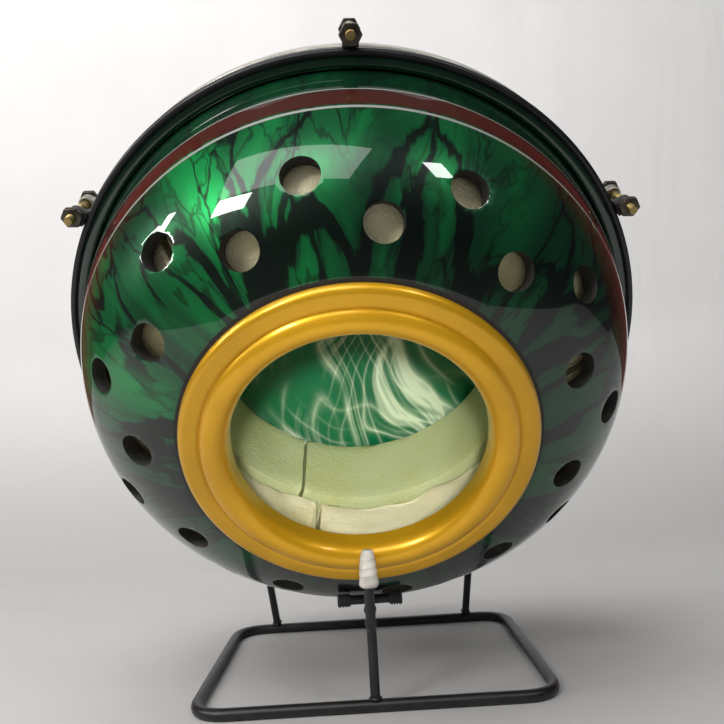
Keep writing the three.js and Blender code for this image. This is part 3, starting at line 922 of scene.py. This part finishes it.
class DRUM_OT_head(bpy.types.Operator):
    """Printed head film, with its skirt over the bearing edge"""

    bl_idname = "drum.head"
    bl_label = "Head"

    def execute(self, context):
        s = sizes()
        inner = s.rim_radius + s.gap
        outer = inner + s.film
        low = -s.rim_depth - s.gap
        high = low - s.film
        rings = [i / 12 for i in range(1, 12)]
        profile = [
            (0, high),
            *((outer * ring, high) for ring in rings),
            (outer - 0.9 * MM, high),
            (outer - 0.25 * MM, high + 0.25 * MM),
            (outer, high + 0.9 * MM),
            (outer, -s.skirt_end),
            (inner, -s.skirt_end),
            (inner, low),
            *((inner * ring, low) for ring in reversed(rings)),
            (0, low),
        ]
        line = [on_drum(radius, station) for radius, station in profile]
        piece = spun("head_film", line, drum_centre(), drum_axis(), ROUND_STEPS)
        dress(piece, printed_film(), "drum", "printed_film", "drum_head")
        smooth(piece, 40)
        return {"FINISHED"}


class DRUM_OT_hoops(bpy.types.Operator):
    """Black rear hoop, plated counter hoop and the flesh hoop under it"""

    bl_idname = "drum.hoops"
    bl_label = "Hoops"

    def execute(self, context):
        s = sizes()
        rear_inner = s.hoop_radius - s.hoop_width
        bead = 2.4 * MM
        rear = turned("rear_hoop_ring", [
            (rear_inner, -s.hoop_depth),
            (s.hoop_radius - 1.2 * MM, -s.hoop_depth),
            (s.hoop_radius - 0.3 * MM, -s.hoop_depth + 0.4 * MM),
            (s.hoop_radius, -s.hoop_depth + 1.2 * MM),
            *arc((s.hoop_radius - bead, -bead), bead, bead, 0, 150, 14),
            (s.hoop_radius - 5.0 * MM, -1.5 * MM),
            (s.hoop_radius - 5.8 * MM, -0.9 * MM),
            (rear_inner + 3.0 * MM, -0.5 * MM),
            (rear_inner + 1.2 * MM, -0.8 * MM),
            (rear_inner + 0.3 * MM, -1.5 * MM),
            (rear_inner, -2.6 * MM),
        ])
        dress(rear, black_coat(), "drum", "black_coat", "rear_hoop")
        face_radius = s.hoop_radius - 4.8 * MM
        two_tone(rear, hoop_lacquer(), lambda radius, station, lean_out: (
            station > -2.4 * MM and radius < face_radius))
        smooth(rear)

        plate = metal("plated_steel", colours().plate, 0.22, 0.42, 60, 0.75)
        flesh_inner = s.rim_radius + 2 * s.gap + s.film
        flesh_start = -s.skirt_end - s.flesh_depth
        lip_low = flesh_start - s.gap
        lip_high = lip_face()
        strip_inner = s.hoop_radius - s.counter_strip
        counter = turned("counter_hoop_ring", [
            (flesh_inner, lip_high),
            (s.hoop_radius, lip_high),
            (s.hoop_radius, -s.counter_end),
            (strip_inner, -s.counter_end),
            (strip_inner, lip_low),
            (flesh_inner, lip_low),
        ])
        soften(counter, 1.1 * MM, 4)
        dress(counter, plate, "drum", "plated_steel", "counter_hoop")
        smooth(counter)

        flesh = turned("flesh_hoop_ring", [
            (flesh_inner, flesh_start),
            (flesh_inner + s.flesh_width, flesh_start),
            (flesh_inner + s.flesh_width, -s.skirt_end),
            (flesh_inner, -s.skirt_end),
        ])
        soften(flesh, 1.2 * MM, 4)
        dress(flesh, plate, "drum", "plated_steel", "flesh_hoop")
        smooth(flesh)
        return {"FINISHED"}


class DRUM_OT_tension(bpy.types.Operator):
    """Lugs on both hoops, with bolts and nuts between them"""

    bl_idname = "drum.tension"
    bl_label = "Tension hardware"

    def lug(self, name, start, depth):
        """An ear on a hoop, from its outline, with the bolt's bore in it."""
        s = sizes()
        half = s.lug_width / 2
        inner = s.hoop_radius + s.gap
        outline = [
            (inner, -half), *arc((bolt_ring(), 0), half, half, -90, 90, 16), (inner, half), (inner, -half)]
        side = ACROSS.cross(drum_axis())
        base = drum_centre() + start * drum_axis()
        piece = drawn(name, [base + radius * ACROSS + aside * side for radius, aside in outline])
        edit(piece)
        bpy.ops.mesh.edge_face_add()
        extruded(depth * drum_axis())
        self.bore(piece, start + depth / 2, s.bolt_radius + s.gap)
        soften(piece, 0.8 * MM)
        return piece

    def bore(self, piece, station, radius):
        """Cuts the bolt's hole through a piece."""
        cut(piece, cylinder(on_drum(bolt_ring(), station), drum_axis(), radius, 32 * MM, 32))

    def hexagon(self, name, start, height):
        """A six-sided prism on the bolt's axis, with its corners turned down."""
        s = sizes()
        place = on_drum(bolt_ring(), start + height / 2)
        piece = cylinder(place, drum_axis(), s.hex_flats / math.sqrt(3), height, 6)
        piece.name = name
        bpy.ops.object.transform_apply(location=True, rotation=True, scale=True)
        soften(piece, s.hex_chamfer)
        return piece

    def bolt(self, head_seat):
        s = sizes()
        root = s.bolt_radius - s.thread_depth
        turns = round((s.bolt_end - s.thread_start) / s.thread_pitch) - 1
        start = head_seat - 0.5 * MM
        profile = [(0, start), (s.bolt_radius, start), (s.bolt_radius, s.thread_start)]
        for i in range(turns):
            station = s.thread_start + i * s.thread_pitch
            profile += [(root, station + 0.45 * s.thread_pitch), (s.bolt_radius, station + s.thread_pitch)]
        profile += [(root, s.bolt_end), (0, s.bolt_end)]
        shank = turned_on("tension_bolt", profile, on_drum(bolt_ring(), 0), drum_axis(), 24)
        head = self.hexagon("bolt_head", head_seat - s.head_height, s.head_height)
        return joined(shank, head)

    def nut(self):
        s = sizes()
        piece = self.hexagon("nut", s.gap, s.nut_height)
        self.bore(piece, s.nut_height / 2, s.bolt_radius + 0.5 * s.gap)
        return piece

    def execute(self, context):
        s = sizes()
        c = colours()
        head_seat = lip_face() - s.gap
        depth = s.lug_depth
        dark = metal("dark_steel", c.dark_steel, 0.3, 0.5, 260)
        kinds = [
            ("rear_lug", self.lug("rear_lug", -depth, depth), black_coat(), "black_coat"),
            ("front_lug", self.lug("front_lug", lip_face(), depth),
             metal("lug_plate", c.plate, 0.25, 0.45, 140, 0.75), "plated_steel"),
            ("tension_bolt", self.bolt(head_seat),
             metal("yellow_zinc", c.yellow_zinc, 0.25, 0.45, 180), "yellow_zinc"),
            ("tension_nut", self.nut(), dark, "dark_steel"),
        ]
        for kind, first, finish, slot in kinds:
            tidy_shell(first)
            smooth(first, 30)
            for i in range(s.bolt_count):
                turn = s.bolt_start + i * 2 * math.pi / s.bolt_count
                label = i + 1
                copy = copied_round(first, f"{kind}_piece_{label}", turn)
                body = f"nut_{label}" if kind == "tension_nut" else "drum"
                dress(copy, finish, body, slot, f"{kind}_{label}")
                if kind == "tension_bolt":
                    two_tone(copy, dark, lambda radius, station, lean_out: station < head_seat)
            bpy.data.objects.remove(first, do_unlink=True)
        return {"FINISHED"}


class DRUM_OT_foam(bpy.types.Operator):
    """Foam lining: a band by the head and lumpy pads in the bowl"""

    bl_idname = "drum.foam"
    bl_label = "Foam lining"

    def walked(self, corners, spacing):
        """The closed outline through the corners, with a point about every spacing."""
        points = []
        for here, there in zip(corners, [*corners[1:], corners[0]]):
            gap = Vector(there) - Vector(here)
            count = max(1, round(gap.length / spacing))
            points += [tuple(Vector(here) + gap * i / count) for i in range(count)]
        return points

    def execute(self, context):
        s = sizes()
        c = colours()
        band_finish = foam("band_foam", c.band_foam)
        pad_finish = foam("pad_foam", c.pad_foam)
        skin = s.wall + s.gap + 0.3 * MM
        outer = s.rim_radius - skin
        start = -s.rim_depth + 2 * MM
        lining = belly_line(40, skin, s.foam_pad_end)
        beside_band = [pair for pair in lining if pair[1] < s.foam_band_end]
        beside_pads = [pair for pair in lining if pair[1] > s.foam_band_end + s.foam_joint]
        band_line = self.walked([
            (outer, start), (outer, 0), *beside_band[::4],
            (beside_pads[0][0], s.foam_band_end),
            (s.foam_band_inner, s.foam_band_end), (s.foam_band_inner, start)], 6 * MM)

        # The ends overlap a little before smoothing draws them back to a fine seam
        overlap = 0.8 * MM / s.foam_band_inner
        seam = math.radians(-115)
        line = [on_drum(radius, station, seam - overlap) for radius, station in [*band_line, band_line[0]]]
        band = spun("foam_band", line, drum_centre(), -drum_axis(), 160, 2 * math.pi + 2 * overlap)
        apply_modifier(band, "SMOOTH", factor=0.5, iterations=5)
        roughened(band, 3 * MM, 0.045)
        dress(band, band_finish, "drum", "band_foam", "foam_wall_band")
        smooth(band, 60)

        pad_start = beside_pads[0][1]
        pad_last = beside_pads[-1][1]
        pad_line = self.walked([
            *beside_pads[::2], beside_pads[-1], (s.foam_pad_inner, pad_last),
            (s.foam_pad_inner, pad_start)], 5 * MM)
        share = 2 * math.pi / s.foam_pad_count
        spare = 1.5 * MM / s.foam_pad_inner
        for i in range(s.foam_pad_count):
            first = s.foam_pad_turn + (i - 0.5) * share - spare
            line = [on_drum(radius, station, first) for radius, station in [*pad_line, pad_line[0]]]
            name = f"foam_pad_piece_{i + 1}"
            pad = spun(name, line, drum_centre(), -drum_axis(), 80, share + 2 * spare)
            apply_modifier(pad, "SMOOTH", factor=0.5, iterations=9)
            roughened(pad, 9 * MM, 0.032)
            dress(pad, pad_finish, "drum", "pad_foam", f"foam_pad_{i + 1}")
            smooth(pad, 60)
        return {"FINISHED"}


class DRUM_OT_stand(bpy.types.Operator):
    """Bent rod stand: base loop, post, hook, rest bar and uprights, with their welds"""

    bl_idname = "drum.stand"
    bl_label = "Stand"

    def weld(self, name, place, along, radius, finish):
        bpy.ops.object.select_all(action="DESELECT")
        bpy.ops.mesh.primitive_torus_add(
            major_segments=36, minor_segments=12, major_radius=radius + 0.2 * MM, minor_radius=1.3 * MM,
            location=place, rotation=along.to_track_quat("Z", "Y").to_euler())
        piece = bpy.context.object
        piece.name = name
        bpy.ops.object.transform_apply(location=True, rotation=True, scale=True)
        roughened(piece, 0.9 * MM, 0.004)
        dress(piece, finish, "stand", "black_coat")
        smooth(piece, 60)

    def base_line(self, height):
        b = stand_sizes()
        back = drum_centre().y
        corners = [
            Vector((b.base_half_width, back + b.base_front, height)),
            Vector((b.base_half_width, back + b.base_rear, height)),
            Vector((-b.base_half_width, back + b.base_rear, height)),
            Vector((-b.base_half_width, back + b.base_front, height)),
        ]
        points = []
        for i, corner in enumerate(corners):
            before = (corners[i - 1] - corner).normalized() * b.base_corner
            after = (corners[(i + 1) % 4] - corner).normalized() * b.base_corner
            points += bend(corner + before, corner, corner + after)
        return points

    def execute(self, context):
        b = stand_sizes()
        back = drum_centre().y
        finish = black_coat()
        base_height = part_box("base_loop")[1][2] - b.base_rod
        base = rod("base_bar", self.base_line(base_height), b.base_rod, closed=True)
        dress(base, finish, "stand", "black_coat", "base_loop")

        post_low, post_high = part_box("front_post")
        post_line = [Vector((0, back + b.base_front, z)) for z in (post_low[2], post_high[2] - 1.2 * MM)]
        post = rod("post_bar", post_line, b.rod)
        soften(post, 0.6 * MM, 3)
        dress(post, finish, "stand", "black_coat", "front_post")
        self.weld("post_weld", post_line[0] + 0.6 * MM * UP, UP, b.rod, finish)

        front = back + b.hook_front
        root = Vector((0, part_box("ring_hook")[1][1], b.hook_low))
        hook_top = Vector((0, front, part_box("ring_hook")[1][2]))
        hook_bend = bend(
            Vector((0, front + b.hook_bend, b.hook_low)), Vector((0, front, b.hook_low)),
            Vector((0, front, b.hook_low + b.hook_bend)))
        hook = rod("hook_bar", [root, *hook_bend, hook_top], b.rod)
        dress(hook, finish, "stand", "black_coat", "ring_hook")
        self.weld("hook_weld", root - 0.5 * MM * BACK, BACK, b.rod, finish)

        bar_low, bar_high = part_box("rest_bar")
        bar_middle = (Vector(bar_low) + Vector(bar_high)) / 2
        bar_line = [Vector((x, bar_middle.y, bar_middle.z)) for x in (bar_low[0], bar_high[0])]
        bar = rod("rest_bar_piece", bar_line, b.rod)
        dress(bar, finish, "stand", "black_coat", "rest_bar")
        arm_low, arm_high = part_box("rest_arm")
        arm_line = [Vector((0, y, bar_middle.z)) for y in (arm_low[1], arm_high[1])]
        arm = rod("rest_arm_piece", arm_line, b.rod)
        dress(arm, finish, "stand", "black_coat", "rest_arm")
        self.weld("arm_weld", arm_line[0] + 0.6 * MM * BACK, BACK, b.rod, finish)
        self.weld("bar_weld", arm_line[1] - 0.6 * MM * BACK, BACK, b.rod, finish)

        for side, name in SIDES:
            foot, top, along = upright_line(side)
            upright = rod(f"upright_bar_{name}", [foot, top], b.rod)
            dress(upright, finish, "stand", "black_coat", f"rear_upright_{name}")
            self.weld(f"upright_weld_{name}", foot + along * 0.8 * MM, along, b.rod, finish)
        return {"FINISHED"}


def upright_line(side):
    """Foot, top and direction of a rear upright, whose cap meets the rear hoop."""
    s = sizes()
    b = stand_sizes()
    turn = -math.pi / 2 + side * b.upright_turn
    top = on_drum(s.hoop_radius + s.gap + b.dome, -s.hoop_depth / 2, turn)
    base_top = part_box("base_loop")[1][2]
    aside = side * (b.base_half_width - b.upright_inset)
    foot = Vector((aside, drum_centre().y + b.base_rear, base_top + 0.6 * MM))
    along = (top - foot).normalized()
    return foot, top - 0.3 * MM * along, along


class DRUM_OT_stand_ends(bpy.types.Operator):
    """Taped hook end, ribbed rest tips and domed upright caps"""

    bl_idname = "drum.stand_ends"
    bl_label = "Stand ends"

    def tape_profile(self, height, bore):
        """Outline of the tape's wraps, from the top down and back up the bore."""
        wide, narrow = stand_sizes().tape_wide, stand_sizes().tape_narrow
        wraps = 4
        run = (height - 4 * MM) / wraps
        profile = [
            (0, height), (narrow - 1.6 * MM, height - 0.1 * MM), (narrow - 0.5 * MM, height - 0.9 * MM)]
        for i in range(wraps):
            upper = height - 1.5 * MM - run * i
            lower = upper - run
            top, foot = (narrow + (wide - narrow) * (wrap / wraps) ** 0.7 for wrap in (i, i + 1))
            profile += [
                (top - 0.3 * MM, upper), ((top + foot) / 2, (upper + lower) / 2),
                (foot, lower + 0.6 * MM), (foot - 0.05 * MM, lower + 0.2 * MM)]
        return profile + [
            (wide - 0.5 * MM, 1.4 * MM), (wide - 1.6 * MM, 0), (bore, 0),
            (bore, height - 3 * MM), (0, height - 3 * MM)]

    def tip_profile(self, bore):
        """Outline of a rest tip, ribbed outside and bored for the bar."""
        end, radius = stand_sizes().tip_length, stand_sizes().tip_radius
        groove = radius - 0.7 * MM
        profile = [(0, end), (radius - 0.9 * MM, end), (radius - 0.2 * MM, end - 0.6 * MM)]
        for rib in range(4):
            station = end - 1.2 * MM - rib * 1.9 * MM
            profile += [
                (radius, station), (radius, station - 0.9 * MM),
                (groove, station - 1.15 * MM), (groove, station - 1.6 * MM)]
        return profile + [(radius - 0.3 * MM, 0), (bore, 0), (bore, end - 1.2 * MM), (0, end - 1.2 * MM)]

    def cap_profile(self, bore):
        """Outline of an upright's cap, with a dome and a bead at its foot."""
        dome, skirt = stand_sizes().dome, stand_sizes().cap_skirt
        bead = dome + 0.5 * MM
        return [
            (0, dome), *reversed(arc((0, 0), dome, dome, 0, 81, 9)),
            (dome, -skirt + 2 * MM), (bead, -skirt + 1.4 * MM), (bead, -skirt + 0.2 * MM),
            (dome, -skirt), (bore, -skirt), (bore, 0), (0, 0)]

    def execute(self, context):
        b = stand_sizes()
        bore = b.rod + 0.15 * MM
        low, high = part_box("hook_cap")
        height = high[2] - low[2]
        foot = Vector((0, drum_centre().y + b.hook_front, low[2]))
        cap = turned_on("tape_wrap", self.tape_profile(height, bore), foot, UP, 48)
        for corner in cap.data.vertices:
            aside = corner.co.x / b.tape_wide
            reach = (corner.co.z - low[2]) / height
            corner.co.z += 1.1 * MM * aside * math.sin(math.pi * reach)
        roughened(cap, 1.1 * MM, 0.008)
        dress(cap, tape(), "stand", "white_tape", "hook_cap")
        smooth(cap, 60)

        finish = rubber()
        for side, name in SIDES:
            low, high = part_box(f"rest_tip_{name}")
            foot = (Vector(low) + Vector(high)) / 2
            foot.x = high[0] if side < 0 else low[0]
            tip = turned_on(f"rest_tip_piece_{name}", self.tip_profile(bore), foot, side * ACROSS)
            dress(tip, finish, "stand", "black_rubber", f"rest_tip_{name}")
            smooth(tip, 40)

        for side, name in SIDES:
            foot, top, along = upright_line(side)
            seat = top + 0.3 * MM * along
            cap = turned_on(f"upright_cap_piece_{name}", self.cap_profile(bore), seat, along)
            dress(cap, finish, "stand", "black_rubber", f"upright_cap_{name}")
            smooth(cap, 40)
        return {"FINISHED"}


# Stage


class DRUM_OT_stage(bpy.types.Operator):
    """Pale sheet, soft lamps and the camera at the photographed angle"""

    bl_idname = "drum.stage"
    bl_label = "Stage"

    def aimed(self, lamp, target):
        lamp.rotation_euler = (target - lamp.location).to_track_quat("-Z", "Y").to_euler()

    def lamp(self, name, place, target, width, height, power, tint, in_gloss):
        bpy.ops.object.light_add(type="AREA", location=place)
        lamp = bpy.context.object
        lamp.name = name
        lamp.data.shape = "RECTANGLE"
        lamp.data.size = width
        lamp.data.size_y = height
        lamp.data.energy = power
        lamp.data.color = tint
        lamp.visible_glossy = in_gloss
        self.aimed(lamp, target)

    def surround(self):
        """Even pale light, which the gloss sees as a dim room."""
        world = bpy.data.worlds.new("studio")
        world.use_nodes = True
        tree = world.node_tree
        path = tree.nodes.new("ShaderNodeLightPath")
        tone = (0.37, 0.38, 0.39, 1)
        dim_room = (0.021, 0.024, 0.027, 1)
        pale_wall = (0.66, 0.65, 0.645, 1)
        for ray, seen in (("Is Glossy Ray", dim_room), ("Is Camera Ray", pale_wall)):
            mix = tree.nodes.new("ShaderNodeMix")
            mix.data_type = "RGBA"
            mix.inputs[7].default_value = seen
            tree.links.new(path.outputs[ray], mix.inputs[0])
            if isinstance(tone, tuple):
                mix.inputs[6].default_value = tone
            else:
                tree.links.new(tone, mix.inputs[6])
            tone = mix.outputs[2]
        tree.links.new(tone, tree.nodes["Background"].inputs["Color"])
        return world

    def inner_lamp(self):
        """A narrow lamp by the camera, which shines through the sound hole."""
        bpy.ops.object.light_add(type="SPOT", location=(0, -0.62, 0.21))
        lamp = bpy.context.object
        lamp.name = "inner_fill"
        lamp.data.energy = 19
        lamp.data.spot_size = math.radians(19)
        lamp.data.spot_blend = 0.5
        lamp.data.shadow_soft_size = 0.04
        lamp.visible_glossy = False
        self.aimed(lamp, on_drum(0, seat_station()))

    def sheet(self):
        """Floor and backdrop in one swept sheet. The gloss sees it dark in front and maroon at the sides."""
        made = Finish("backdrop_sheet", Roughness=0.9)
        tone = colours().sheet
        cloud = made.noise(made.place(), 2.2, 4, 0.6, 0.4)
        crease = made.noise(made.stretched(made.place(), (1, 1, 0.35)), 6, 3, 0.5, 0.8)
        clouded = made.mix(made.steps(cloud, 0.3, 0.75), scaled(tone, 0.93), tone)
        height = made.dot(made.place(), UP)
        # Painted shade: the sheet darkens from 0.35 m above the floor down to 0.56 of its tone at the floor
        painted_floor_shade = made.mix(made.steps(height, 0.35, 0.0), clouded, scaled(tone, 0.56))
        in_front = made.dot(made.place(), BACK) < DARK_FRONT
        in_gloss = made.node("ShaderNodeLightPath", output="Is Glossy Ray")
        at_side = (abs(made.dot(made.place(), ACROSS)) > MAROON_SIDE) * (height > MAROON_FOOT)
        darkened = made.mix(in_front * in_gloss, painted_floor_shade, (0.02, 0.02, 0.02))
        made.set("Base Color", made.mix(at_side * in_gloss, darkened, colours().maroon))
        made.bump(crease, 0.02, 0.25)
        side = -SHEET_HALF_WIDTH * ACROSS
        corner = side + SHEET_BACK * BACK
        curve = bend(corner - SHEET_BEND * BACK, corner, corner + SHEET_BEND * UP, 16)
        piece = drawn("backdrop", [side + SHEET_FRONT * BACK, *curve, corner + SHEET_TOP * UP])
        edit(piece)
        extruded(2 * SHEET_HALF_WIDTH * ACROSS)
        piece.data.materials.append(made.material)
        smooth(piece, 60)

    def camera(self):
        """Camera fitted to the photograph, seen a little from below the middle."""
        level = math.cos(CAMERA_PITCH)
        forward = Vector((
            math.sin(CAMERA_YAW) * level, math.cos(CAMERA_YAW) * level, math.sin(CAMERA_PITCH)))
        right = Vector((math.cos(CAMERA_YAW), -math.sin(CAMERA_YAW), 0))
        up = right.cross(forward)
        right, up = (
            math.cos(CAMERA_ROLL) * right + math.sin(CAMERA_ROLL) * up,
            math.cos(CAMERA_ROLL) * up - math.sin(CAMERA_ROLL) * right)
        turn = Matrix((right, up, -forward)).transposed().to_4x4()
        bpy.ops.object.camera_add()
        camera = bpy.context.object
        camera.name = "photo_camera"
        camera.matrix_world = Matrix.Translation(drum_centre() + CAMERA_PLACE) @ turn
        camera.data.sensor_width = SENSOR_WIDTH
        camera.data.lens = CAMERA_LENS
        camera.data.clip_start = 0.01
        bpy.context.scene.camera = camera

    def execute(self, context):
        scene = context.scene
        scene.view_settings.view_transform = "Standard"
        self.sheet()
        self.camera()
        scene.world = self.surround()
        for lamp in LAMPS:
            self.lamp(*lamp)
        self.inner_lamp()
        return {"FINISHED"}


# Add-on


class DRUM_PT_panel(bpy.types.Panel):
    """Lists the drum's pieces"""

    bl_idname = "DRUM_PT_panel"
    bl_label = "Bass Hand Drum"
    bl_space_type = "VIEW_3D"
    bl_region_type = "UI"
    bl_category = "Drum"

    def draw(self, context):
        for operator in OPERATORS:
            self.layout.operator(operator.bl_idname)


OPERATORS = (
    DRUM_OT_bowl,
    DRUM_OT_sound_ring,
    DRUM_OT_head,
    DRUM_OT_hoops,
    DRUM_OT_tension,
    DRUM_OT_foam,
    DRUM_OT_stand,
    DRUM_OT_stand_ends,
    DRUM_OT_stage,
)
GROUPS = (DrumSizes, StandSizes, DrumColours)


def register():
    for kind in (*GROUPS, *OPERATORS, DRUM_PT_panel):
        bpy.utils.register_class(kind)
    bpy.types.Scene.drum_sizes = PointerProperty(type=DrumSizes)
    bpy.types.Scene.stand_sizes = PointerProperty(type=StandSizes)
    bpy.types.Scene.drum_colours = PointerProperty(type=DrumColours)


def unregister():
    del bpy.types.Scene.drum_colours
    del bpy.types.Scene.stand_sizes
    del bpy.types.Scene.drum_sizes
    for kind in reversed((*GROUPS, *OPERATORS, DRUM_PT_panel)):
        bpy.utils.unregister_class(kind)


def main():
    register()
    for operator in OPERATORS:
        family, name = operator.bl_idname.split(".")
        getattr(getattr(bpy.ops, family), name)()


if __name__ == "__main__":
    main()
